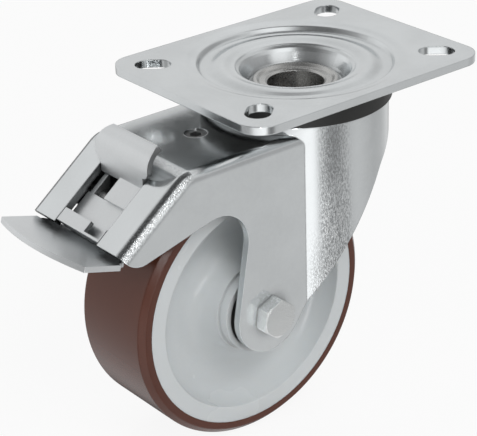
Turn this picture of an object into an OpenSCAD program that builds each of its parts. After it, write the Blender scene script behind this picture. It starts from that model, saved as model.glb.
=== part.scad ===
// Swivel castor with top plate, pressed fork, wheel and total-lock brake.
// Millimetres. Origin: centre of the top plate's upper face, on the swivel axis.
// +Z up, X along the plate's long side, the wheel trails to -X, the axle lies along Y.

/* [Top plate] */
// Length of the top plate, along X
plate_l = 105; // [100:1:125]
// Width of the top plate, along Y
plate_w = 85; // [80:1:105]
// Thickness of the top plate's sheet
plate_t = 3; // [2.5:0.5:3.5]
// Radius of the top plate's corners
plate_corner_r = 9; // [6:1:10]
// Distance between the slots' centres, along X
slot_spacing_x = 82; // [78:1:86]
// Distance between the slots' centres, along Y
slot_spacing_y = 59; // [57:1:62]
// Length of each slot, end to end
slot_l = 13; // [11:0.5:14]
// Width of each slot
slot_w = 9; // [7:0.5:10]
// Slant of the slots from X, toward the plate's centre
slot_angle = 40; // [30:1:50]

/* [Swivel head] */
// Outer radius of the fork's round crown
crown_r = 33.2; // [32.4:0.1:33.8]
// Diameter of the upper row's balls
upper_ball_d = 6; // [5.8:0.1:6.2]
// Number of balls in the upper row
upper_balls_n = 22; // [12:1:24]
// Diameter of the lower row's balls
lower_ball_d = 5; // [4.8:0.1:5.2]
// Number of balls in the lower row
lower_balls_n = 22; // [12:1:24]
// Bore of the hollow kingpin
kingpin_bore_d = 20.4; // [18:0.1:21]
// Number of radial slots in the lock ring
lock_slots_n = 24; // [12:4:24]

/* [Wheel] */
// Diameter of the wheel over its tread
wheel_d = 100; // [96:1:104]
// Width of the tread
wheel_w = 36; // [32:1:38]
// Height of the tread's side ring
tread_side = 4.6; // [4:0.1:5.5]
// Thickness of the thrust washers beside the hub
washer_t = 0.9; // [0.6:0.1:1.4]
// Radius of the hub's barrel
hub_r = 16; // [14.5:0.5:18]

/* [Fork] */
// Offset of the axle behind the swivel axis
axle_offset = 36; // [35:0.5:37]
// Height from the wheel's top to the plate's upper face
head_h = 29.5; // [29.5:0.5:31]
// Width over the cheeks
fork_w = 54; // [54:1:58]
// Thickness of the fork's sheet
fork_t = 3; // [2.5:0.1:3]
// Radius of the bends between top and cheeks
cheek_bend_r = 4; // [3.5:0.5:5]
// Slant of the hood below the flat top
hood_angle = 37.6; // [37:0.1:38.5]
// Length of the hood along its slant
hood_l = 34.5; // [33:0.5:35]
// Radius of the leg's round end at the axle
lobe_r = 14.2; // [13.5:0.1:15]

/* [Brake] */
// Angle that the pedal goes down to lock the castor
pedal_travel = 18; // [17:0.5:18]
// Width of the brake pedal
pedal_w = 50; // [44:1:51]
// Thickness of the pedal's and the tab's sheet
lever_t = 2; // [1.8:0.1:2.2]
// Width of the release tab
tab_w = 30; // [26:1:31]
// Width of the hood's slot
hood_slot_w = 24.8; // [24:0.2:26]

/* [Hidden] */
$fn = 72;

// Small clearances, and the amount by which a line is led into an arc that it meets
eps = 0.01;
blend = 0.05;
run_fit = 0.05;
side_gap = 0.3;
arc_step = 4;

// Heights in the swivel head, from the plate's upper face down
ring_pitch_r = crown_r - 6.5;
ridge_z = -1.6;
funnel_r = 16.2;
kingpin_r = 12;
kingpin_head_r = 15.5;
kingpin_seat_z = -9.8;
kingpin_flange_t = 2.2;
upper_ball_z = ridge_z - plate_t - run_fit - upper_ball_d / 2;
crown_top_z = upper_ball_z - upper_ball_d / 2 - run_fit;
crown_under_z = crown_top_z - fork_t;
crown_round_r = 3;
lower_pitch_r = crown_r - 10.2;
crown_hole_r = lower_pitch_r - 3;
lower_ball_z = crown_under_z - run_fit - lower_ball_d / 2;
race_top_z = lower_ball_z - lower_ball_d / 2 - run_fit;
race_t = 2.2;
race_under_z = race_top_z - race_t;
race_r = crown_r - fork_t - 3;
lock_ring_t = 2.4;
lock_ring_r = crown_r - fork_t - 0.8;
lock_slot_w = 5.2;
lock_slot_r = lock_ring_r - 5.4;

// Fork
axle_x = -axle_offset;
wheel_r = wheel_d / 2;
axle_z = -head_h - wheel_r;
axle = [axle_x, axle_z];
flat_top_z = -15.8;
flat_under_z = flat_top_z - fork_t;
cheek_in = fork_w / 2 - fork_t;
hood_x = -70;
hood_bend_r = 10;
crease_x = 0.8 - sqrt(pow(crown_r, 2) - pow(fork_w / 2, 2));
hood_slot_start = 6.6;
hood_corner_r = 8;
arch_line_angle = 13.8;
arch_line_drop = 7.6;
arch_r = 12.8;
leg_rear_x = -44.2;
leg_rear_z = -45;
front_knee = [12.9, -35.3];
front_rise = [23.4, -27];
front_end = [40, -21];
front_bend_r = 12;
axle_bore_r = 4.1;

// Brake
rocker_pin_r = 2.5;
rocker_pin_s = 17.5;
rocker_pin_n = -8;
lock_plate_pin_r = 2;
lock_plate_pivot = [-62, -24];
lock_plate_travel = pedal_travel * 0.3;
lock_plate_t = 2;
lock_plate_w = 24;
shoe_t = 4.5;
shoe_w = 30;
shoe_gap = 0.15;
shoe_from = 120;
shoe_to = 143;
plate_arc_to = 146;
tongue_w = 4.6;
tongue_tip_x = -lock_slot_r - 1.2;
bracket_t = 2;
bracket_in = 17;
bracket_front_x = -36;
screw_x = -45.5;
screw_hole_r = 4.1;
pedal_rise = 16.8;
pedal_root_x = -90;
pedal_wide_x = -96.4;
pedal_tip_x = -110.3;
pedal_bulge = 4;
pedal_root_z = -41.7;
tab_curl_r = 9;
tab_curl_centre = [-68.3, -16.5];
body_w = hood_slot_w - 2 * side_gap;
body_top_n = -3.4;

// Axle
tube_r = 6;
hub_l = 2 * (cheek_in - washer_t - 0.1);
roller_r = 1.5;
roller_pitch_r = tube_r + roller_r + run_fit;
hub_bore_r = roller_pitch_r + roller_r + run_fit;
rollers_n = 12;
roller_l = 28;
bolt_r = 4;
bolt_af = 13;
bolt_head_t = 5.4;
bolt_head_turn = 22;
nut_t = 8;

zinc = [0.74, 0.76, 0.77];
steel = [0.62, 0.64, 0.66];
black = [0.10, 0.10, 0.10];
brown = [0.37, 0.25, 0.22];
ivory = [0.80, 0.81, 0.80];

// Point and direction helpers, all in the X-Z plane
function hood_point(s, n) = [
    hood_x - s * cos(hood_angle) - n * sin(hood_angle),
    flat_top_z - s * sin(hood_angle) + n * cos(hood_angle)];
function tangent_point(p, c, r, side) =
    let (d = p - c, a = atan2(d[1], d[0]), b = acos(r / norm(d)))
    c + r * [cos(a + side * b), sin(a + side * b)];
function around(c, r, a) = c + r * [cos(a), sin(a)];
function angle_of(v) = atan2(v[1], v[0]);
// Points along an arc, a step every arc_step degrees or finer
function arc(c, r, from, to) =
    let (n = ceil(abs(to - from) / arc_step)) [for (i = [0 : n]) around(c, r, from + (to - from) * i / n)];
// Points along the fillet of radius r at corner p of an outline that runs from a over p to b
function fillet(a, p, b, r) =
    let (u = (a - p) / norm(a - p), v = (b - p) / norm(b - p), half = acos(u * v) / 2,
        c = p + (u + v) / norm(u + v) * r / sin(half),
        from = angle_of(p + u * r / tan(half) - c), turn = angle_of(p + v * r / tan(half) - c) - from)
    arc(c, r, from, from + turn + (turn > 180 ? -360 : turn < -180 ? 360 : 0));
// Height between two levels along a soft S-curve, t from 0 to 1
function ease(a, b, t) = a + (b - a) * (1 - cos(180 * t)) / 2;

rocker_pivot = hood_point(rocker_pin_s, rocker_pin_n);

// Carries a flat X-Z shape along Y, centred
module along_y(w, y = 0) {
    translate([0, y, 0]) rotate([90, 0, 0]) linear_extrude(w, center = true) children();
}

// Turns a shape of revolution from the Z axis to the axle
module on_axle() {
    translate([axle_x, 0, axle_z]) rotate([90, 0, 0]) children();
}

// Frame of the hood: +X down the slant, +Z out of it, origin on the bend line
module on_hood() {
    translate([hood_x, 0, flat_top_z]) rotate([0, 0, 180]) rotate([0, hood_angle, 0]) children();
}

// Ring between two radii and two heights
module ring(r_in, r_out, z_low, z_high) {
    translate([0, 0, z_low]) difference() {
        cylinder(r = r_out, h = z_high - z_low);
        translate([0, 0, -1]) cylinder(r = r_in, h = z_high - z_low + 2);
    }
}

// Turns a part of the lock plate back from its locked place to rest
module at_lock_rest() {
    translate([lock_plate_pivot[0], 0, lock_plate_pivot[1]]) rotate([0, lock_plate_travel, 0])
        translate([-lock_plate_pivot[0], 0, -lock_plate_pivot[1]]) children();
}

// Upper face of the plate's pressed centre: rows of radius and height, joined by S-curves
press_rows = [[crown_r + 7.3, 0], [crown_r + 2.4, -0.8], [crown_r + 0.7, -2.6], [crown_r - 1.6, -2.9],
    [ring_pitch_r, ridge_z], [ring_pitch_r - 4.9, -2.6], [ring_pitch_r - 5.7, -3.2],
    [funnel_r, kingpin_seat_z], [kingpin_r, kingpin_seat_z]];
press_steps = 6;
function press_curve(drop) = [
    for (i = [0 : len(press_rows) - 2]) for (k = [0 : press_steps - 1])
        let (a = press_rows[i], b = press_rows[i + 1], t = k / press_steps)
        [a[0] + (b[0] - a[0]) * t, ease(a[1], b[1], t) - drop],
    [kingpin_r, kingpin_seat_z - drop]];
function reversed(list) = [for (i = [len(list) - 1 : -1 : 0]) list[i]];

module plate_outline() {
    x = plate_l / 2 - plate_corner_r;
    y = plate_w / 2 - plate_corner_r;
    square([plate_l, 2 * y], center = true);
    square([2 * x, plate_w], center = true);
    for (i = [-1, 1], j = [-1, 1]) translate([i * x, j * y]) circle(plate_corner_r);
}

module plate_slot() {
    h = (slot_l - slot_w) / 2;
    square([2 * h, slot_w], center = true);
    for (i = [-1, 1]) translate([i * h, 0]) circle(slot_w / 2);
}

// Half section of the plate's pressed centre
module press_section() {
    polygon(concat(press_curve(0), reversed(press_curve(plate_t))));
}

// Pressed plate: flat rim with slots, soft dish, race ridge and funnel for the kingpin
module top_plate() {
    color(zinc) {
        translate([0, 0, -plate_t]) linear_extrude(plate_t) difference() {
            plate_outline();
            circle(press_rows[0][0]);
            for (i = [-1, 1], j = [-1, 1])
                translate([i * slot_spacing_x / 2, j * slot_spacing_y / 2])
                    rotate(i * j * slot_angle) plate_slot();
        }
        rotate_extrude() press_section();
    }
}

// Hollow kingpin: lipped head in the funnel, tube, flared end under the lower race
module kingpin() {
    bore = kingpin_bore_d / 2;
    head_top = kingpin_seat_z + 2.4;
    color(steel) rotate_extrude() polygon([
        [bore, kingpin_seat_z + 0.9], [bore + 0.8, kingpin_seat_z + 1.5],
        [bore + 2.8, kingpin_seat_z + 1.5], [bore + 3.8, head_top],
        [kingpin_head_r - 0.5, head_top], [kingpin_head_r, head_top - 0.5],
        [kingpin_head_r, kingpin_seat_z], [kingpin_r, kingpin_seat_z],
        [kingpin_r, race_under_z], [kingpin_r + 4.6, race_under_z],
        [kingpin_r + 4.6, race_under_z - 1], [kingpin_r + 3, race_under_z - kingpin_flange_t],
        [bore, race_under_z - kingpin_flange_t]]);
}

// Lower race: collar up to the plate, saucer with the ball groove and a turned-up rim
module lower_race() {
    collar_r = 16;
    rim_h = 2.4;
    color(steel) difference() {
        union() {
            ring(kingpin_r, collar_r, race_under_z, kingpin_seat_z - plate_t);
            ring(kingpin_r, race_r, race_under_z, race_top_z + 0.7);
            ring(race_r - 1.2, race_r, race_under_z, race_top_z + rim_h);
        }
        translate([0, 0, lower_ball_z]) rotate_extrude()
            translate([lower_pitch_r, 0]) circle(lower_ball_d / 2 + run_fit, $fn = 48);
    }
}

// Toothed ring under the lower race, which the tongue of the lock plate enters
module lock_ring() {
    color(steel) difference() {
        ring(kingpin_r + 5.2, lock_ring_r, race_under_z - lock_ring_t, race_under_z);
        for (i = [0 : lock_slots_n - 1]) rotate(180 + i * 360 / lock_slots_n)
            translate([lock_slot_r, -lock_slot_w / 2, race_under_z - lock_ring_t - 1])
                cube([10, lock_slot_w, lock_ring_t + 2]);
    }
}

// Soft skirt that hangs from the plate around the crown
module dust_seal() {
    r_in = crown_r + 0.35;
    r_out = crown_r + 1.3;
    z_low = crown_top_z - 1.9;
    color(black) rotate_extrude() difference() {
        polygon([[r_in, z_low], [r_out, z_low - 0.1], [r_out + 0.1, -4], [r_in, -4]]);
        press_section();
    }
}

module ball_row(n, pitch, z, d) {
    for (i = [0 : n - 1]) rotate((i + 0.5) * 360 / n) translate([pitch, 0, z]) sphere(d = d, $fn = 48);
}

module upper_balls() {
    color(steel) ball_row(upper_balls_n, ring_pitch_r, upper_ball_z, upper_ball_d);
}

module upper_cage() {
    half_w = 3.9;
    color(black) difference() {
        ring(ring_pitch_r - half_w, ring_pitch_r + half_w, upper_ball_z - 0.6, upper_ball_z + 0.6);
        for (i = [0 : upper_balls_n - 1]) rotate((i + 0.5) * 360 / upper_balls_n)
            translate([ring_pitch_r, 0, upper_ball_z - 5])
                cylinder(d = upper_ball_d + 0.1, h = 10, $fn = 48);
    }
}

module lower_balls() {
    color(steel) ball_row(lower_balls_n, lower_pitch_r, lower_ball_z, lower_ball_d);
}

// Cross-section of the fork's channel: level top at 0, round upper corners, open ends below
module channel_section(w, r, depth) {
    translate([-w / 2, -depth]) square([w, depth - r]);
    translate([r - w / 2, -depth]) square([w - 2 * r, depth]);
    for (i = [-1, 1]) translate([i * (w / 2 - r), -r]) circle(r);
}

// Channel solid: flat stretch, bend and slanted hood, set in from the outer face by inset
module channel(inset) {
    depth = 130;
    w = fork_w - 2 * inset;
    r = max(cheek_bend_r - inset, 0.5);
    bend = hood_bend_r - inset;
    centre = hood_point(hood_bend_r * tan(hood_angle / 2), -hood_bend_r);
    translate([centre[0], 0, flat_top_z - inset]) rotate([90, 0, 90])
        linear_extrude(crease_x - centre[0]) channel_section(w, r, depth);
    intersection() {
        on_hood() translate([hood_bend_r * tan(hood_angle / 2), 0, -inset]) rotate([90, 0, 90])
            linear_extrude(80) channel_section(w, r, depth);
        translate([centre[0] - 300, -w, -250]) cube([300, 2 * w, 300]);
    }
    translate([centre[0], 0, centre[1]]) rotate([0, -90, 0]) rotate([90, 0, 0])
        rotate_extrude(angle = hood_angle) {
            translate([0, -w / 2]) square([bend - r, w]);
            translate([0, r - w / 2]) square([bend, w - 2 * r]);
            for (i = [-1, 1]) translate([bend - r, i * (w / 2 - r)]) circle(r);
        }
}

// Round crown of the fork: race face on top, rounded rim, wall going down
module crown_shell() {
    difference() {
        union() {
            translate([0, 0, -130]) cylinder(r = crown_r, h = 130 + crown_top_z - crown_round_r);
            translate([0, 0, crown_top_z - crown_round_r - eps])
                cylinder(r = crown_r - crown_round_r, h = crown_round_r + eps);
            translate([0, 0, crown_top_z - crown_round_r]) rotate_extrude() intersection() {
                translate([crown_r - crown_round_r, 0]) circle(crown_round_r);
                square([crown_r, crown_round_r]);
            }
        }
        translate([0, 0, crown_under_z - 130]) cylinder(r = crown_r - fork_t, h = 130);
        translate([0, 0, crown_under_z - 1]) cylinder(r = crown_hole_r, h = 10);
        translate([0, 0, upper_ball_z]) rotate_extrude()
            translate([ring_pitch_r, 0]) circle(upper_ball_d / 2 + run_fit, $fn = 48);
        // Behind the crease the crown sits on the channel, so its wall ends at the flat top
        translate([-60, -cheek_in, -131])
            cube([60 + crease_x, 2 * cheek_in, 131 + flat_under_z - eps]);
    }
}

// Side outline of the fork: hood, arches, legs down to the axle, and the front edge
arch_left = hood_point(hood_l, -arch_line_drop);
arch_dir = [cos(arch_line_angle), sin(arch_line_angle)];
leg_top = [leg_rear_x, leg_rear_z];
leg_low = tangent_point(leg_top, axle, lobe_r, 1);
leg_dir = (leg_low - leg_top) / norm(leg_low - leg_top);
front_low = tangent_point(front_knee, axle, lobe_r, -1);
// Where the line under the hood and the leg's rear line would meet
arch_corner = let (d = leg_top - arch_left,
    k = (d[0] * leg_dir[1] - d[1] * leg_dir[0]) / (arch_dir[0] * leg_dir[1] - arch_dir[1] * leg_dir[0]))
    arch_left + k * arch_dir;
hood_end = hood_point(hood_l, 6);
module fork_side() {
    polygon(concat(
        fillet(hood_end, arch_left, arch_corner, hood_corner_r),
        fillet(arch_left, arch_corner, leg_low, arch_r),
        arc(axle, lobe_r, angle_of(leg_low - axle), angle_of(front_low - axle) + 360),
        fillet(front_low, front_knee, front_rise, front_bend_r),
        fillet(front_knee, front_rise, front_end, front_bend_r),
        [front_end, [front_end[0], 6], [hood_x, 6], hood_end]));
}

// Fork: channel with hood and cheeks, round crown, slot, screw hole and axle holes
module fork() {
    color(zinc) difference() {
        union() {
            intersection() {
                difference() {
                    channel(0);
                    channel(fork_t);
                    translate([0, 0, flat_under_z - 1]) cylinder(r = crown_r - fork_t, h = 20);
                }
                along_y(fork_w + 2) fork_side();
            }
            intersection() {
                crown_shell();
                along_y(2 * crown_r + 2) fork_side();
            }
        }
        on_hood() translate([hood_slot_start, -hood_slot_w / 2, -fork_t - 2])
            cube([60, hood_slot_w, fork_t + 4]);
        translate([screw_x, 0, flat_under_z - 1]) cylinder(r = screw_hole_r, h = fork_t + 2);
        on_axle() cylinder(r = axle_bore_r, h = fork_w + 4, center = true);
    }
}

// Adjusting screw, sunk in its hole, with a hexagon socket
module adjusting_screw() {
    top = flat_top_z - 0.5;
    color(steel) difference() {
        union() {
            translate([screw_x, 0, flat_under_z]) cylinder(r = screw_hole_r, h = top - flat_under_z);
            translate([screw_x, 0, flat_under_z - bracket_t]) cylinder(r = 3, h = bracket_t + eps);
        }
        translate([screw_x, 0, top - 1.8]) cylinder(r = 2.3, h = 3, $fn = 6);
    }
}

// Region under the flat top and the hood, down to a ring around the tread
module ear_region() {
    bend = hood_bend_r - fork_t;
    centre = hood_point(hood_bend_r * tan(hood_angle / 2), -hood_bend_r);
    bend_flat = [centre[0], flat_under_z];
    bend_slant = hood_point(hood_bend_r * tan(hood_angle / 2), -fork_t);
    difference() {
        union() {
            polygon([[bracket_front_x, flat_under_z], bend_flat, centre, bend_slant,
                hood_point(24, -fork_t), hood_point(24, -16), [-60, -40], [bracket_front_x, -23.5]]);
            intersection() {
                translate(centre) circle(bend);
                polygon([bend_flat + [0, 5], centre, bend_slant + [-5, 5], centre + [-12, 20]]);
            }
        }
        translate(axle) circle(wheel_r + 4);
    }
}

// Folded carrier under the fork's top: web and two ears with the holes of the cross pins
module brake_bracket() {
    color(zinc) difference() {
        union() {
            for (i = [-1, 1]) along_y(bracket_t, i * (bracket_in + bracket_t / 2)) ear_region();
            translate([-58, -bracket_in - eps, flat_under_z - bracket_t])
                cube([58 + bracket_front_x, 2 * (bracket_in + eps), bracket_t]);
        }
        translate([screw_x, 0, flat_under_z - 10]) cylinder(r = 3, h = 20);
        along_y(60) translate(rocker_pivot) circle(rocker_pin_r);
        along_y(60) translate(lock_plate_pivot) circle(lock_plate_pin_r);
    }
}

module cross_pin(p, r) {
    along_y(2 * (bracket_in + bracket_t)) translate(p) circle(r);
}

module rocker_pin() {
    color(steel) cross_pin(rocker_pivot, rocker_pin_r);
}

module lock_plate_pin() {
    color(steel) cross_pin(lock_plate_pivot, lock_plate_pin_r);
}

// Round wire along a path whose steps stay roughly square to Y
module wire(path, r, sides = 8) {
    rings = [for (i = [0 : len(path) - 1])
        let (d = path[min(i + 1, len(path) - 1)] - path[max(i - 1, 0)], t = d / norm(d),
            u = cross(t, [0, 1, 0]), a = u / norm(u), b = cross(t, a))
        for (k = [0 : sides - 1]) path[i] + r * (cos(k * 360 / sides) * a + sin(k * 360 / sides) * b)];
    last = (len(path) - 1) * sides;
    polyhedron(rings, concat(
        [[for (k = [0 : sides - 1]) k]],
        [for (i = [0 : len(path) - 2], k = [0 : sides - 1])
            [i * sides + k, (i + 1) * sides + k, (i + 1) * sides + (k + 1) % sides, i * sides + (k + 1) % sides]],
        [[for (k = [sides - 1 : -1 : 0]) last + k]]));
}

// Close-wound spring around the lock plate's pin, with its two legs
module return_spring() {
    wire_r = 0.6;
    turns = 5;
    pitch = 1.4;
    step = 20;
    coil_r = lock_plate_pin_r + 0.6 + wire_r;
    rear_leg = 7;
    front_leg = 3.7;
    centre = [lock_plate_pivot[0], 0, lock_plate_pivot[1]];
    coil = [for (a = [0 : step : 360 * turns])
        centre + [coil_r * sin(a), (a / 360 - turns / 2) * pitch, coil_r * cos(a)]];
    color(steel) wire(concat([coil[0] - [rear_leg, 0, 0]], coil,
        [coil[len(coil) - 1] + [front_leg, 0, 0]]), wire_r);
}

// Band around the axle between two radii and two angles
module axle_band(r_in, r_out, from, to) {
    translate(axle) intersection() {
        difference() {
            circle(r_out);
            circle(r_in);
        }
        polygon([[0, 0], around([0, 0], 2 * r_out, from), around([0, 0], 2 * r_out, (from + to) / 2),
            around([0, 0], 2 * r_out, to)]);
    }
}

// See-saw plate in its locked place: tongue to the lock ring, arc over the tread, pivot lugs
plate_arc_in = wheel_r + shoe_gap + shoe_t;
tongue_top_z = race_under_z - 0.4;
module lock_plate() {
    tongue_from = lock_plate_pivot[0] + 6;
    color(zinc) at_lock_rest() difference() {
        union() {
            along_y(lock_plate_w) axle_band(plate_arc_in, plate_arc_in + lock_plate_t, 117, plate_arc_to);
            translate([tongue_from, -9, tongue_top_z - lock_plate_t])
                cube([bracket_front_x - 2 - tongue_from, 18, lock_plate_t]);
            translate([tongue_from, -tongue_w / 2, tongue_top_z - lock_plate_t])
                cube([tongue_tip_x - tongue_from, tongue_w, lock_plate_t]);
            for (i = [-1, 1]) along_y(lock_plate_t, i * (lock_plate_w - lock_plate_t) / 2) {
                translate(lock_plate_pivot) circle(lock_plate_pin_r + 2);
                polygon([lock_plate_pivot + [0, 3], [tongue_from + 3, tongue_top_z],
                    [tongue_from + 3, tongue_top_z - lock_plate_t], around(axle, plate_arc_in + 1, 117),
                    around(axle, plate_arc_in + 1, 121), lock_plate_pivot + [-3, -2]]);
            }
            translate([tongue_from - 1, -lock_plate_w / 2, tongue_top_z - lock_plate_t])
                cube([5, lock_plate_w, lock_plate_t]);
        }
        along_y(60) translate(lock_plate_pivot) circle(lock_plate_pin_r + run_fit);
    }
}

// Pad under the lock plate, shaped to the tread where it grips
module brake_shoe() {
    color(black) at_lock_rest() along_y(shoe_w)
        axle_band(wheel_r + shoe_gap, plate_arc_in, shoe_from, shoe_to);
}

// Outline of the pedal seen on its own slanting plane, +X outward from the root
module pedal_outline() {
    root = (pedal_root_x - pedal_wide_x) / cos(pedal_rise);
    tip = (pedal_root_x - pedal_tip_x) / cos(pedal_rise);
    chord = pedal_w / 2;
    bulge_r = (chord * chord + pedal_bulge * pedal_bulge) / (2 * pedal_bulge);
    translate([0, -body_w / 2]) square([tip, body_w]);
    intersection() {
        translate([root, -chord]) square([tip - root + pedal_bulge, 2 * chord]);
        translate([tip + pedal_bulge - bulge_r, 0]) circle(bulge_r);
    }
}

// Side outline of the rocker: boss on the pin, cam toward the lock plate, arm to the pedal
module rocker_side() {
    cam_angle = atan2(axle[1] - rocker_pivot[1], axle[0] - rocker_pivot[0]) - 82;
    cam_reach = 7.5;
    cam_r = 3.2;
    translate(rocker_pivot) circle(4.2);
    translate(around(rocker_pivot, cam_reach, cam_angle)) circle(cam_r);
    polygon([around(rocker_pivot, 4, cam_angle + 90), around(rocker_pivot, 4, cam_angle - 90),
        around(around(rocker_pivot, cam_reach, cam_angle), cam_r - blend, cam_angle - 90),
        around(around(rocker_pivot, cam_reach, cam_angle), cam_r - blend, cam_angle + 90)]);
    polygon([hood_point(9.4, body_top_n), hood_point(33.4, body_top_n), [pedal_root_x - 3, pedal_root_z + 0.8],
        [pedal_root_x, pedal_root_z - 1], rocker_pivot + [-2, -4], rocker_pivot + [2, 0]]);
}

// Brake pedal: pedal sheet, folded body in the hood's slot and its flush cross bar
module brake_pedal() {
    bar_s = 28.4;
    bar_end = 33.5;
    bar_t = 1.6;
    body_from = 19;
    color(zinc) difference() {
        union() {
            translate([pedal_root_x, 0, pedal_root_z]) rotate([0, 0, 180]) rotate([0, -pedal_rise, 0])
                translate([0, 0, -lever_t]) linear_extrude(lever_t) pedal_outline();
            for (i = [-1, 1]) along_y(lever_t, i * 10) rocker_side();
            on_hood() {
                translate([body_from, -body_w / 2, body_top_n - lever_t])
                    cube([bar_end - body_from, body_w, lever_t]);
                translate([bar_end - bar_t, -body_w / 2, body_top_n - lever_t])
                    cube([bar_t, body_w, lever_t - body_top_n]);
                translate([bar_s, -body_w / 2, -bar_t]) cube([bar_end - bar_s, body_w, bar_t]);
            }
        }
        // Notch of the cross bar
        on_hood() translate([bar_s - 1, 3, -bar_t - 1]) cube([5.2, 8.5, bar_t + 2]);
        along_y(60) translate(rocker_pivot) circle(rocker_pin_r + run_fit);
    }
}

// Front outline of the tab in the Y-Z plane: round-cornered sheet with the neck below it
module tab_outline(low_z, high_z, neck_z) {
    half = tab_w / 2;
    far_r = 7;
    near_r = 3;
    low_r = 2.5;
    hull_z = [low_z + low_r, high_z - far_r];
    translate([-half, hull_z[0]]) square([tab_w, hull_z[1] - hull_z[0]]);
    translate([low_r - half, low_z]) square([tab_w - 2 * low_r, low_r + eps]);
    translate([near_r - half, hull_z[1] - eps]) square([tab_w - near_r - far_r, far_r + eps]);
    translate([-half, hull_z[1] - eps]) square([near_r + eps, far_r - near_r + eps]);
    translate([near_r - half, high_z - near_r]) circle(near_r);
    translate([half - far_r, high_z - far_r]) circle(far_r);
    for (i = [-1, 1]) translate([i * (half - low_r), low_z + low_r]) circle(low_r);
    translate([-body_w / 2, neck_z]) square([body_w, low_z - neck_z + low_r]);
}

// Release tab: curled sheet, neck down through the slot and foot on the rocker
module release_tab() {
    curl_end = 112;
    curl_out = tab_curl_centre[0] - tab_curl_r;
    low_z = tab_curl_centre[1] - 2.6;
    neck_z = -24.2;
    foot_from = 9;
    foot_to = 19.2;
    color(zinc) {
        intersection() {
            along_y(tab_w + 2) {
                intersection() {
                    difference() {
                        translate(tab_curl_centre) circle(tab_curl_r);
                        translate(tab_curl_centre) circle(tab_curl_r - lever_t);
                    }
                    polygon([tab_curl_centre, tab_curl_centre + [-20, 0], tab_curl_centre + [-20, 20],
                        around(tab_curl_centre, 25, curl_end)]);
                }
                translate([curl_out, neck_z]) square([lever_t, tab_curl_centre[1] - neck_z]);
            }
            translate([curl_out - 1, 0, 0]) rotate([90, 0, 90])
                linear_extrude(25) tab_outline(low_z, tab_curl_centre[1] + tab_curl_r + eps, neck_z);
        }
        on_hood() translate([foot_from, -1, body_top_n])
            cube([foot_to - foot_from, body_w / 2 + 1, lever_t]);
    }
}

// Tread: cylinder with soft shoulders, locked into the rim by its sloping base
rim_seat_r = wheel_r - 7;
rim_lip_r = wheel_r - tread_side;
module tread() {
    shoulder = 2;
    half = wheel_w / 2;
    color(brown) on_axle() rotate_extrude($fn = 144) {
        polygon([[rim_lip_r, -half], [wheel_r - shoulder, -half], [wheel_r, shoulder - half],
            [wheel_r, half - shoulder], [wheel_r - shoulder, half], [rim_lip_r, half],
            [rim_lip_r, half - 2], [rim_seat_r, half - 4], [rim_seat_r, 4 - half],
            [rim_lip_r, 2 - half]]);
    }
}

// Rim: lips, dished sides, web and hub barrel with the bearing bore and seal seats
module wheel_rim() {
    half = wheel_w / 2;
    seat_half = hub_l / 2 - 3;
    color(ivory) on_axle() difference() {
        union() {
            rotate_extrude($fn = 144) difference() {
                polygon([[hub_r - 4, -half], [rim_lip_r, -half], [rim_lip_r, 2 - half],
                    [rim_seat_r, 4 - half], [rim_seat_r, half - 4], [rim_lip_r, half - 2],
                    [rim_lip_r, half], [hub_r - 4, half]]);
                for (i = [-1, 1]) dish(i);
            }
            cylinder(r = hub_r, h = hub_l - 2, center = true);
        }
        cylinder(r = hub_bore_r, h = hub_l + 2, center = true);
        for (i = [0, 1]) mirror([0, 0, i]) translate([0, 0, seat_half])
            cylinder(r = hub_r - 2, h = 10);
    }
}

// Half section of the dish on one side of the rim
module dish(side) {
    half = wheel_w / 2;
    depth = 11;
    lip_in = rim_lip_r - 6;
    mirror([0, side > 0 ? 0 : 1]) {
        translate([hub_r + 1 + depth, half]) circle(depth);
        translate([lip_in - depth, half]) circle(depth);
        translate([hub_r + 1 + depth, half - depth])
            square([lip_in - hub_r - 1 - 2 * depth, depth + 5]);
        polygon([[hub_r - 8, half], [lip_in, half], [rim_lip_r - 2.4, half + 0.5], [hub_r - 8, half + 3]]);
    }
}

// Places of the rollers around the axle tube
module roller_places() {
    for (i = [0 : rollers_n - 1]) rotate(i * 360 / rollers_n) translate([roller_pitch_r, 0, 0]) children();
}

module rollers() {
    color(steel) on_axle() roller_places() cylinder(r = roller_r, h = roller_l, center = true, $fn = 32);
}

// Cage sleeve with a pocket for each roller
module roller_cage() {
    color(black) on_axle() difference() {
        ring(tube_r + 0.8, hub_bore_r - 0.8, -roller_l / 2 - 2, roller_l / 2 + 2);
        roller_places() cylinder(r = roller_r + 0.08, h = roller_l + 0.3, center = true, $fn = 32);
    }
}

module axle_tube() {
    color(steel) on_axle() ring(axle_bore_r, tube_r, -cheek_in, cheek_in);
}

// Seal cap pressed in the hub's end
module hub_seal(side) {
    z = hub_l / 2;
    color(black) on_axle() mirror([0, 0, side > 0 ? 0 : 1]) {
        ring(tube_r + 0.3, hub_r - 2, z - 3, z - 1.4);
        ring(tube_r + 0.3, hub_r - 5, z - 1.4 - eps, z - 0.1);
    }
}

module left_hub_seal() {
    hub_seal(-1);
}

module right_hub_seal() {
    hub_seal(1);
}

module washer(side) {
    color(steel) on_axle() mirror([0, 0, side > 0 ? 0 : 1])
        ring(tube_r, tube_r + 4, cheek_in - washer_t, cheek_in);
}

module left_washer() {
    washer(-1);
}

module right_washer() {
    washer(1);
}

// Hexagon prism with its outer edge chamfered by a cone
module hexagon(af, h, chamfered_end) {
    intersection() {
        cylinder(r = af / sqrt(3), h = h, $fn = 6);
        translate([0, 0, chamfered_end ? 0 : -1]) union() {
            cylinder(r = af, h = h - 0.8);
            translate([0, 0, h - 0.8 - eps]) cylinder(r1 = af / 2 + 1.4, r2 = af / 2 - 0.2, h = 0.8 + eps);
        }
    }
}

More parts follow.
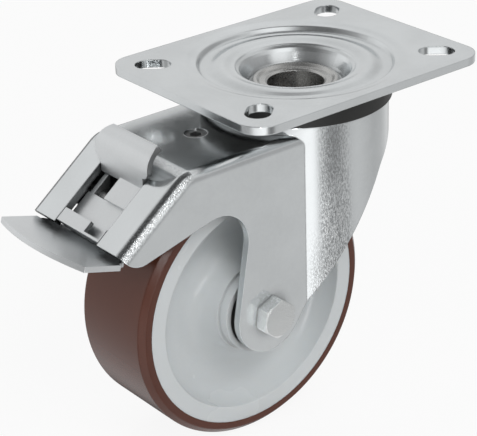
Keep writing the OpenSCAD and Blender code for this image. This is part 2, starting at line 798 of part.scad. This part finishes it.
// Axle bolt: head on the -Y cheek, shank through tube and cheeks
module axle_bolt() {
    shank_end = fork_w / 2 + nut_t + 2.5;
    color(zinc) on_axle() {
        translate([0, 0, fork_w / 2]) rotate(bolt_head_turn) hexagon(bolt_af, bolt_head_t, true);
        translate([0, 0, -shank_end]) cylinder(r = bolt_r, h = shank_end + fork_w / 2 + eps);
    }
}

// Lock nut on the +Y cheek, with its domed ring
module lock_nut() {
    color(zinc) on_axle() mirror([0, 0, 1]) translate([0, 0, fork_w / 2]) difference() {
        union() {
            rotate(bolt_head_turn) hexagon(bolt_af, nut_t - 1.6, true);
            cylinder(r = bolt_af / 2 - 0.6, h = nut_t);
        }
        translate([0, 0, -1]) cylinder(r = bolt_r, h = nut_t + 2);
    }
}

top_plate();
kingpin();
lower_race();
lock_ring();
dust_seal();
upper_balls();
upper_cage();
lower_balls();
fork();
adjusting_screw();
brake_bracket();
rocker_pin();
lock_plate_pin();
return_spring();
lock_plate();
brake_shoe();
brake_pedal();
release_tab();
tread();
wheel_rim();
rollers();
roller_cage();
axle_tube();
left_hub_seal();
right_hub_seal();
left_washer();
right_washer();
axle_bolt();
lock_nut();
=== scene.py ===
import math

import bmesh
import bpy
from mathutils import Matrix, Vector


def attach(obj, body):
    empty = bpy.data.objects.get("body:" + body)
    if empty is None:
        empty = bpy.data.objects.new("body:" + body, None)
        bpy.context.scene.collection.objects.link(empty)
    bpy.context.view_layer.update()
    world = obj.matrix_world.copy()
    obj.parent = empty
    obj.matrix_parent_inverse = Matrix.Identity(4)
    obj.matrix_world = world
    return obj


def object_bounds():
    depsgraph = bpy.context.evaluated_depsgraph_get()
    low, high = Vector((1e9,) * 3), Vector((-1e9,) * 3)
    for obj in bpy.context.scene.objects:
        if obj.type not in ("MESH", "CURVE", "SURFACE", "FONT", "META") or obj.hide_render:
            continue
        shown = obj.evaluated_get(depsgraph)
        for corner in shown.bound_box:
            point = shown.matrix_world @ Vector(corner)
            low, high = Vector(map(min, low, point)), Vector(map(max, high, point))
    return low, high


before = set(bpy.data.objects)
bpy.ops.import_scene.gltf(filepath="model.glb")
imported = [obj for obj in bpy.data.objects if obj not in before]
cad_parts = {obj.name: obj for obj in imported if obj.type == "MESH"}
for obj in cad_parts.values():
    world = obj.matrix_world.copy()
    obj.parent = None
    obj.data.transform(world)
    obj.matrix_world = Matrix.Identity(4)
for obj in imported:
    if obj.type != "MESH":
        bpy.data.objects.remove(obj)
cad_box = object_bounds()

MM = 0.001
WHITE = (1.0, 1.0, 1.0, 1.0)

# Camera, fitted to the castor's outline in the photograph
CAMERA_PLACE = Vector((-0.381883, -0.451647, 0.224709))
CAMERA_RIGHT = Vector((0.77781161, -0.62780177, -0.02956415))
CAMERA_UP = Vector((0.29535942, 0.32360277, 0.89891271))
CAMERA_WAY = Vector((0.55477195, 0.70791679, -0.43712916))
CAMERA_SENSOR = 36.0
CAMERA_LENS = 133.98


def add_to_scene(ob):
    bpy.context.scene.collection.objects.link(ob)


def make_camera():
    """Sets the photograph's viewpoint."""
    cam = bpy.data.cameras.new("camera")
    cam.sensor_fit = "HORIZONTAL"
    cam.sensor_width = CAMERA_SENSOR
    cam.lens = CAMERA_LENS
    cam.clip_start = 0.01
    cam.clip_end = 50
    ob = bpy.data.objects.new("camera", cam)
    turn = Matrix((CAMERA_RIGHT, CAMERA_UP, -CAMERA_WAY)).transposed().to_4x4()
    ob.matrix_world = Matrix.Translation(CAMERA_PLACE) @ turn
    add_to_scene(ob)
    bpy.context.scene.camera = ob


class Tree:
    """Short calls for building one node tree, which starts empty."""

    def __init__(self, owner):
        owner.use_nodes = True
        self.node_tree = owner.node_tree
        self.node_tree.nodes.clear()

    def feed(self, value, sock):
        """Links an output to an input, or sets the input's own value."""
        if isinstance(value, bpy.types.NodeSocket):
            self.node_tree.links.new(value, sock)
        else:
            sock.default_value = value

    def add(self, kind, **inputs):
        """Adds a node and feeds its inputs, named with _ for a space."""
        node = self.node_tree.nodes.new(kind)
        for name, value in inputs.items():
            self.feed(value, node.inputs[name.replace("_", " ")])
        return node

    def feed_in_order(self, node, *values):
        """Feeds a node's inputs from the first on, and returns its output."""
        for value, sock in zip(values, node.inputs):
            self.feed(value, sock)
        return node.outputs[0]

    def math(self, operation, *values):
        node = self.add("ShaderNodeMath")
        node.operation = operation
        return self.feed_in_order(node, *values)

    def times(self, product, *factors):
        for factor in factors:
            product = self.math("MULTIPLY", product, factor)
        return product

    def lessened(self, mask, depth):
        """Returns 1 where the mask is 0, down to 1 - depth where it is 1."""
        return self.math("SUBTRACT", 1.0, self.times(mask, depth))

    def band(self, value, low, high, out_low=0.0, out_high=1.0, kind="SMOOTHSTEP"):
        """Maps low..high to out_low..out_high, and holds the end values beyond."""
        node = self.add("ShaderNodeMapRange", Value=value, From_Min=low, From_Max=high,
                        To_Min=out_low, To_Max=out_high)
        node.interpolation_type = kind
        return node.outputs[0]

    def grey_ramp(self, value, stops):
        """Runs in straight lines through stops of (place from 0 to 1, grey level)."""
        node = self.add("ShaderNodeValToRGB")
        ramp = node.color_ramp
        ramp.interpolation = "LINEAR"
        while len(ramp.elements) < len(stops):
            ramp.elements.new(0.5)
        for element, (at, level) in zip(ramp.elements, stops):
            element.position = at
            element.color = (level, level, level, 1.0)
        return self.feed_in_order(node, value)

    def mix_colors(self, factor, first, second):
        node = self.add("ShaderNodeMix")
        node.data_type = "RGBA"
        first_in, second_in = (sock for sock in node.inputs if sock.type == "RGBA")
        self.feed(factor, node.inputs[0])
        self.feed(first, first_in)
        self.feed(second, second_in)
        return next(sock for sock in node.outputs if sock.type == "RGBA")

    def mix_shaders(self, factor, first, second):
        return self.feed_in_order(self.add("ShaderNodeMixShader"), factor, first, second)

    def noise(self, place, scale, detail, rough, stretch=None):
        """Returns noise of about scale cells to the metre."""
        if stretch:
            place = self.add("ShaderNodeMapping", Vector=place, Scale=stretch).outputs[0]
        node = self.add("ShaderNodeTexNoise", Vector=place, Scale=scale, Detail=detail, Roughness=rough)
        return node.outputs["Fac"]

    def parts(self, vector):
        """Returns a vector's X, Y and Z."""
        return self.add("ShaderNodeSeparateXYZ", Vector=vector).outputs

    def coordinates(self):
        return self.add("ShaderNodeTexCoord").outputs


def new_material(name):
    """Returns a material, its tree and its shader."""
    mat = bpy.data.materials.new(name)
    tree = Tree(mat)
    shader = tree.add("ShaderNodeBsdfPrincipled")
    tree.add("ShaderNodeOutputMaterial", Surface=shader.outputs[0])
    return mat, tree, shader


def toned(tree, color, tone):
    """Returns the colour times a tone that varies over the surface."""
    node = tree.add("ShaderNodeVectorMath")
    node.operation = "SCALE"
    node.inputs[0].default_value = color
    tree.feed(tone, node.inputs["Scale"])
    return node.outputs[0]


def bumped(tree, layers, edge):
    """Returns the normal of layers (height, depth in mm, strength) over edges that look edge mm round."""
    bevel = tree.add("ShaderNodeBevel", Radius=edge * MM)
    bevel.samples = 6
    normal = bevel.outputs[0]
    for height, depth, strength in layers:
        bump = tree.add("ShaderNodeBump", Height=height, Distance=depth * MM, Strength=strength,
                        Normal=normal)
        normal = bump.outputs[0]
    return normal


def painted_corner_shade(tree, reach, deepest):
    """Returns 1 in the open, down to deepest where other surfaces stand within reach mm: painted shade in
    corners, slots and gaps.
    """
    node = tree.add("ShaderNodeAmbientOcclusion", Distance=reach * MM)
    node.samples = 8
    return tree.band(node.outputs["AO"], 0.15, 0.85, deepest, 1.0, "LINEAR")


# Places on the fork, in mm
CREASE_X = -18.0
HOOD_X = -62.0
BRAKE_HALF_W = 16.0
CROWN_GRAIN_Z = (-22.0, -50.0)
CREASE_GRAIN_Z = (-45.0, -75.0)


def drawn_sheet_and_painted_bends(tree, place, facing):
    """Returns masks of the sheet that the press has grained, and of the upper part of the bends, where a dark
    reflection is painted.

    Grained are the crown's side, most of all low down, the strip along the crease, and the bends of
    flat top and hood.
    """
    x, _, z = tree.parts(place)
    face_x, face_y, face_z = tree.parts(facing)
    sideways = tree.math("ABSOLUTE", face_y)
    crown = tree.times(
        tree.band(face_x, -0.5, -0.4),
        tree.band(face_x, -0.05, -0.2),
        tree.band(z, CROWN_GRAIN_Z[0] * MM, CROWN_GRAIN_Z[1] * MM, 0.45, 1.0))
    crease = tree.times(
        tree.band(x, (CREASE_X - 1.5) * MM, (CREASE_X + 1.5) * MM),
        tree.band(z, CREASE_GRAIN_Z[0] * MM, CREASE_GRAIN_Z[1] * MM, 0.0, 0.7))
    bend = tree.times(
        tree.band(face_z, 0.2, 0.45),
        tree.band(sideways, 0.1, 0.25),
        tree.band(face_x, 0.0, -0.12))
    # The upper part of the bends, for a painted dark reflection
    painted_dark_bend = tree.times(bend, tree.band(sideways, 0.66, 0.5))
    grained = tree.math("MAXIMUM", tree.math("MAXIMUM", crown, crease), bend)
    return grained, painted_dark_bend


def shaded_slot_walls(tree, place, facing):
    """Returns a mask of the sheared walls inside the hood's slot, where shade is painted."""
    x, y, _ = tree.parts(place)
    sideways = tree.math("ABSOLUTE", tree.parts(facing)[1])
    return tree.times(
        tree.band(sideways, 0.6, 0.9),
        tree.band(x, (HOOD_X + 2) * MM, (HOOD_X - 2) * MM),
        tree.band(tree.math("ABSOLUTE", y), (BRAKE_HALF_W + 0.5) * MM, (BRAKE_HALF_W - 0.5) * MM))


ZINC_COLOR = (0.74, 0.765, 0.775)
ZINC_CLOUDS = 0.045


def zinc(name, color=ZINC_COLOR, rough=0.2, edge=0.5, reach=9, deepest=0.16, pitted=0.0, drawn_and_painted_bends=False,
         slot_shade=0.0):
    """Zinc-plated steel: cloudy, with a fine skin, and painted shade in corners.

    pitted roughens the whole piece, drawn grains the pressed places of the fork and paints a dark reflection
    on the upper part of its bends, and slot_shade says how much painted shade darkens the walls inside the
    hood's slot.
    """
    mat, tree, shader = new_material(name)
    coordinates = tree.coordinates()
    place, facing = coordinates["Object"], coordinates["Normal"]
    clouds = tree.noise(place, 38, 3, 0.55)
    skin = tree.noise(place, 900, 2, 0.6)
    fine = tree.noise(place, 4200, 2, 0.5)
    pits = tree.noise(place, 2500, 3, 0.7)
    specks = tree.band(pits, 0.36, 0.64)
    # The tone holds slow clouds, the skin and painted shade in corners
    tone = tree.times(
        tree.band(clouds, 0.3, 0.7, 1.0 - ZINC_CLOUDS, 1.0 + ZINC_CLOUDS),
        tree.band(skin, 0.3, 0.7, 0.985, 1.015),
        painted_corner_shade(tree, reach, deepest))
    roughness = tree.math(
        "ADD",
        tree.band(clouds, 0.3, 0.7, rough - 0.03, rough + 0.04),
        tree.band(skin, 0.25, 0.75, -0.02, 0.03))
    layers = [(skin, 0.02, 0.2), (fine, 0.01, 0.3)]
    if pitted:
        layers.append((specks, 0.09, pitted))
        tone = tree.times(tone, tree.band(pits, 0.4, 0.62, 1.0 - 0.35 * pitted, 1.0 + 0.2 * pitted))
    if drawn_and_painted_bends:
        grained, painted_dark_bend = drawn_sheet_and_painted_bends(tree, place, facing)
        streaks = tree.noise(place, 2600, 2, 0.6, stretch=(1.0, 1.0, 0.35))
        layers.append((tree.times(specks, grained), 0.03, 0.9))
        rougher = tree.times(grained, tree.band(streaks, 0.35, 0.65, -0.04, 0.06))
        roughness = tree.math("ADD", roughness, rougher)
        streaked = tree.times(grained, tree.band(streaks, 0.36, 0.64, -0.4, 0.35))
        # Grain streaks vary the tone, and the upper part of the bends is painted darker as a dark reflection
        tone = tree.times(tone, tree.lessened(painted_dark_bend, 0.66), tree.math("ADD", 1.0, streaked))
    if slot_shade:
        walls = shaded_slot_walls(tree, place, facing)
        # Painted shade on the walls inside the hood's slot, which also come out rougher
        tone = tree.times(tone, tree.lessened(walls, slot_shade))
        roughness = tree.math("ADD", roughness, tree.times(walls, 0.2))
    shader.inputs["Metallic"].default_value = 1.0
    tree.feed(toned(tree, color, tone), shader.inputs["Base Color"])
    tree.feed(roughness, shader.inputs["Roughness"])
    tree.feed(bumped(tree, layers, edge), shader.inputs["Normal"])
    return mat


def steel(name, grey, rough, edge=0.3):
    """Turned or rolled steel without plating: slow clouds and a fine skin."""
    mat, tree, shader = new_material(name)
    place = tree.coordinates()["Object"]
    clouds = tree.noise(place, 60, 3, 0.55)
    skin = tree.noise(place, 1400, 2, 0.6)
    shader.inputs["Metallic"].default_value = 1.0
    tree.feed(toned(tree, grey, tree.band(clouds, 0.3, 0.7, 0.93, 1.06)), shader.inputs["Base Color"])
    tree.feed(tree.band(skin, 0.3, 0.7, rough - 0.04, rough + 0.05), shader.inputs["Roughness"])
    tree.feed(bumped(tree, [(skin, 0.03, 0.4)], edge), shader.inputs["Normal"])
    return mat


SCATTER_RADIUS = (1.0, 0.9, 0.8)
SCATTER_DEPTH = 2.0


def plastic(name, color, rough, drift=0.04, edge=0.3, skin_scale=700, skin_depth=0.04, specular=0.5,
            reach=0, deepest=1.0, scatter=0.0):
    """Moulded plastic or rubber: the colour drifts slowly, over a fine skin.

    Where other surfaces stand within reach mm it darkens to deepest, a painted shade. scatter is the share of
    the light that sinks in.
    """
    mat, tree, shader = new_material(name)
    place = tree.coordinates()["Object"]
    slow = tree.noise(place, 28, 3, 0.5)
    skin = tree.noise(place, skin_scale, 3, 0.55)
    tone = tree.band(slow, 0.3, 0.7, 1 - drift, 1 + drift)
    if reach:
        # Painted shade where other surfaces stand near
        tone = tree.times(tone, painted_corner_shade(tree, reach, deepest))
    tree.feed(toned(tree, color, tone), shader.inputs["Base Color"])
    tree.feed(tree.band(slow, 0.3, 0.7, rough - 0.03, rough + 0.03), shader.inputs["Roughness"])
    shader.inputs["Specular IOR Level"].default_value = specular
    if scatter:
        shader.inputs["Subsurface Weight"].default_value = scatter
        shader.inputs["Subsurface Radius"].default_value = SCATTER_RADIUS
        shader.inputs["Subsurface Scale"].default_value = SCATTER_DEPTH * MM
    tree.feed(bumped(tree, [(skin, skin_depth, 0.5)], edge), shader.inputs["Normal"])
    return mat


def dress(mat, *names):
    """Gives the material to nodes of the solid model."""
    for name in names:
        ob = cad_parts[name]
        if not ob.material_slots:
            ob.data.materials.append(mat)
        for slot in ob.material_slots:
            slot.material = mat


# The room that metal mirrors, as (azimuth in degrees, brightness) at three heights
LOW_ROOM = [
    (-180, 0.45), (-172, 0.62), (-160, 0.95), (-145, 1.1), (-125, 1.2), (-110, 1.3), (-99, 0.4),
    (-88, 0.2), (-76, 0.28), (-64, 0.58), (-50, 0.64), (-20, 0.5), (0, 0.55), (20, 0.75), (34, 0.6),
    (44, 0.15), (64, 0.12), (78, 0.45), (95, 0.7), (112, 0.78), (132, 0.76), (150, 0.42), (180, 0.45)]
MIDDLE_ROOM = [
    (-180, 0.26), (-160, 0.28), (-140, 0.32), (-120, 0.45), (-105, 1.0), (-80, 1.0), (-66, 0.4),
    (-50, 0.46), (-20, 0.42), (0, 0.42), (20, 0.5), (45, 0.74), (80, 0.72), (112, 0.9), (135, 0.8),
    (150, 0.5), (165, 0.38), (180, 0.26)]
HIGH_ROOM = [
    (-180, 0.15), (-155, 0.15), (-136, 0.3), (-118, 1.15), (-85, 1.15), (-70, 0.8), (-45, 0.7),
    (-20, 0.85), (10, 0.65), (45, 0.85), (60, 0.7), (90, 0.62), (112, 0.84), (128, 0.4), (160, 0.3),
    (180, 0.15)]
CEILING = (0.16, 0.16, 0.16, 1.0)
GROUND = (0.9, 0.9, 0.9, 1.0)


def room_around(tree, turn, levels):
    """Returns the brightness around the room, where turn runs from 0 at -180 degrees to 1 at 180."""
    return tree.grey_ramp(turn, [((azimuth + 180) / 360, level) for azimuth, level in levels])


def make_world():
    """Makes the studio that metal mirrors: softboxes with paler and darker walls between them."""
    world = bpy.data.worlds.new("studio")
    bpy.context.scene.world = world
    tree = Tree(world)
    x, y, z = tree.parts(tree.coordinates()["Generated"])
    turn = tree.math("ADD", tree.math("DIVIDE", tree.math("ARCTAN2", y, x), 2 * math.pi), 0.5)
    low, middle, high = (room_around(tree, turn, levels) for levels in (LOW_ROOM, MIDDLE_ROOM, HIGH_ROOM))
    room = tree.mix_colors(tree.band(z, -0.3, 0.15), low, middle)
    room = tree.mix_colors(tree.band(z, 0.35, 0.68), room, high)
    room = tree.mix_colors(tree.band(z, 0.84, 0.95), room, CEILING)
    room = tree.mix_colors(tree.band(z, -0.68, -0.85), room, GROUND)
    mirrored = tree.add("ShaderNodeBackground", Color=room, Strength=1.0)
    backdrop = tree.add("ShaderNodeBackground", Color=WHITE, Strength=1.0)
    seen = tree.add("ShaderNodeLightPath").outputs["Is Camera Ray"]
    surface = tree.mix_shaders(seen, mirrored.outputs[0], backdrop.outputs[0])
    tree.add("ShaderNodeOutputWorld", Surface=surface)


FLOOR_HALF = 4.0
FLOOR_DROP = 0.2
FLOOR_PAPER = (0.8, 0.8, 0.8, 1.0)
FLOOR_GLOW = 0.9


def make_floor():
    """Lays pale paper just under the wheel. It takes the shadow, and metal mirrors the room through it."""
    low = cad_box[0][2] - FLOOR_DROP * MM
    corners = [(-1, -1), (1, -1), (1, 1), (-1, 1)]
    mesh = bpy.data.meshes.new("floor")
    mesh.from_pydata([(x * FLOOR_HALF, y * FLOOR_HALF, low) for x, y in corners], [], [(0, 1, 2, 3)])
    ob = bpy.data.objects.new("floor", mesh)
    add_to_scene(ob)
    mat = bpy.data.materials.new("floor_pale")
    tree = Tree(mat)
    paper = tree.add("ShaderNodeBsdfDiffuse", Color=FLOOR_PAPER)
    glow = tree.add("ShaderNodeEmission", Color=WHITE, Strength=1.0)
    path = tree.add("ShaderNodeLightPath").outputs
    seen = tree.math("MAXIMUM", path["Is Camera Ray"], path["Is Transmission Ray"])
    surface = tree.mix_shaders(tree.times(seen, FLOOR_GLOW), paper.outputs[0], glow.outputs[0])
    tree.add("ShaderNodeOutputMaterial", Surface=surface)
    mesh.materials.append(mat)
    ob.visible_glossy = False


LAMP_TARGET = Vector((-0.02, 0.0, -0.05))


def lamp(name, place, size, power, gloss_only=False):
    """Aims a soft lamp at the castor. It either lights without being mirrored, or shows in gloss alone."""
    data = bpy.data.lights.new(name, "AREA")
    data.shape = "RECTANGLE"
    data.size, data.size_y = size
    data.energy = power
    ob = bpy.data.objects.new(name, data)
    ob.location = place
    ob.rotation_euler = (LAMP_TARGET - ob.location).to_track_quat("-Z", "Y").to_euler()
    ob.visible_glossy = gloss_only
    ob.visible_diffuse = not gloss_only
    ob.visible_camera = False
    add_to_scene(ob)


def make_lamps():
    lamp("key", (-0.25, -0.85, 0.9), (0.7, 0.5), 3.3)
    # Gleams on the bolt's facets, along the edges and in the rim's dish
    lamp("strip", (-0.72, -0.84, 0.15), (0.07, 0.8), 2.0, gloss_only=True)
    lamp("fill_left", (-0.95, -0.2, 0.35), (0.5, 0.7), 1.8)
    lamp("back", (0.55, 0.65, 0.75), (0.7, 0.5), 2.0)


# The pedal's sheet, in mm: the root of its upper face, its slant and its thickness
PEDAL_ROOT = Vector((-90.0, 0.0, -41.7))
PEDAL_RISE = math.radians(16.8)
PEDAL_SHEET = 2.0
# The pedal's heels, in mm: out along the sheet from its root, and sideways from the middle
HEEL_SKIN = 0.05
HEEL_OUT = 6.9
HEEL_SIDES = (12.2, 23.2)
HEEL_CORNER = (5.2, 23.0)
HEEL_ROUND_CENTRE = (4.4, 19.6)
HEEL_ROUND_SIZE = (2.2, 2.8)
HEEL_ROUND_STEPS = 6
HEEL_SOFT_EDGE = 0.25


def heel_outline():
    """Returns the heel's outline: straight at the pedal and the rocker, round toward the hood's side."""
    outline = [(HEEL_OUT, HEEL_SIDES[0]), (HEEL_OUT, HEEL_SIDES[1]), HEEL_CORNER]
    for step in range(HEEL_ROUND_STEPS + 1):
        angle = math.radians(90) * step / HEEL_ROUND_STEPS
        outline.append((
            HEEL_ROUND_CENTRE[0] - HEEL_ROUND_SIZE[0] * math.sin(angle),
            HEEL_ROUND_CENTRE[1] + HEEL_ROUND_SIZE[1] * math.cos(angle)))
    outline.append((HEEL_ROUND_CENTRE[0] - HEEL_ROUND_SIZE[0], HEEL_SIDES[0]))
    return outline


def pedal_heel(name, side, mat):
    """Carries the pedal's sheet on under the hood's edge, on one side of the rocker."""
    along = Vector((-math.cos(PEDAL_RISE), 0.0, math.sin(PEDAL_RISE)))
    normal = Vector((math.sin(PEDAL_RISE), 0.0, math.cos(PEDAL_RISE)))
    outline = heel_outline()
    count = len(outline)
    points = []
    for depth in (HEEL_SKIN, PEDAL_SHEET - HEEL_SKIN):
        for out, sideways in outline:
            point = PEDAL_ROOT + along * out - normal * depth + Vector((0.0, side * sideways, 0.0))
            points.append(point * MM)
    upper, lower = tuple(range(count)), tuple(reversed(range(count, 2 * count)))
    rim = [(i, count + i, count + (i + 1) % count, (i + 1) % count) for i in range(count)]
    mesh = bpy.data.meshes.new(name)
    mesh.from_pydata(points, [], [upper, lower, *rim])
    work = bmesh.new()
    work.from_mesh(mesh)
    bmesh.ops.recalc_face_normals(work, faces=work.faces)
    work.to_mesh(mesh)
    work.free()
    mesh.materials.append(mat)
    ob = bpy.data.objects.new(name, mesh)
    add_to_scene(ob)
    soft = ob.modifiers.new("soft", "BEVEL")
    soft.width = HEEL_SOFT_EDGE * MM
    soft.segments = 2
    soft.limit_method = "ANGLE"
    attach(ob, "rocker")


make_camera()
make_world()
make_floor()
make_lamps()

# Zinc-plated sheet and bolts
plate_zinc = zinc("plate_zinc", rough=0.19, edge=0.6)
fork_zinc = zinc("fork_zinc", rough=0.17, edge=0.6, drawn_and_painted_bends=True, slot_shade=0.75)
lever_zinc = zinc("lever_zinc", (0.8, 0.82, 0.83), rough=0.33, edge=0.4, reach=6, deepest=0.8, slot_shade=0.7)
# The bracket inside the fork gets darker zinc, as painted shade
bracket_zinc = zinc("bracket_zinc", (0.4, 0.41, 0.42), rough=0.34, edge=0.3, slot_shade=0.75)
bolt_zinc = zinc("bolt_zinc", (0.86, 0.88, 0.88), rough=0.18, edge=0.3, reach=1, pitted=0.6)
dress(plate_zinc, "top_plate")
dress(fork_zinc, "fork")
dress(lever_zinc, "brake_pedal", "release_tab")
dress(bracket_zinc, "brake_bracket", "lock_plate")
dress(bolt_zinc, "axle_bolt", "lock_nut")

# Plain steel
bearing_steel = steel("bearing_steel", (0.5, 0.5, 0.5), 0.3)
ball_steel = steel("ball_steel", (0.7, 0.7, 0.7), 0.14, edge=0.05)
kingpin_steel = steel("kingpin_steel", (0.56, 0.56, 0.55), 0.28, edge=0.4)
screw_steel = steel("screw_steel", (0.42, 0.42, 0.42), 0.35)
pin_steel = steel("pin_steel", (0.5, 0.5, 0.5), 0.3)
spring_steel = steel("spring_steel", (0.36, 0.36, 0.37), 0.3, edge=0.1)
dress(bearing_steel, "lower_race", "lock_ring", "axle_tube")
dress(ball_steel, "upper_balls", "lower_balls", "rollers")
dress(kingpin_steel, "kingpin")
dress(screw_steel, "adjusting_screw")
dress(pin_steel, "rocker_pin", "lock_plate_pin", "left_washer", "right_washer")
dress(spring_steel, "return_spring")

# Plastic and rubber
tread_brown = plastic("tread_brown", (0.105, 0.034, 0.021), 0.2, drift=0.05, edge=0.9, skin_scale=900,
                      skin_depth=0.005, specular=0.36)
# The rim's reach and deepest paint shade into its dish and fillets
rim_white = plastic("rim_white", (0.70, 0.73, 0.74), 0.25, drift=0.012, edge=0.7, skin_depth=0.004,
                    reach=14, deepest=0.55, scatter=0.25)
seal_black = plastic("seal_black", (0.018, 0.018, 0.017), 0.5)
shoe_black = plastic("shoe_black", (0.03, 0.03, 0.03), 0.6)
dress(tread_brown, "tread")
dress(rim_white, "wheel_rim")
dress(seal_black, "dust_seal")
dress(shoe_black, "brake_shoe", "upper_cage", "roller_cage", "left_hub_seal", "right_hub_seal")

pedal_heel("pedal_heel_near", -1, lever_zinc)
pedal_heel("pedal_heel_far", 1, lever_zinc)

bpy.context.scene.view_settings.view_transform = "Standard"
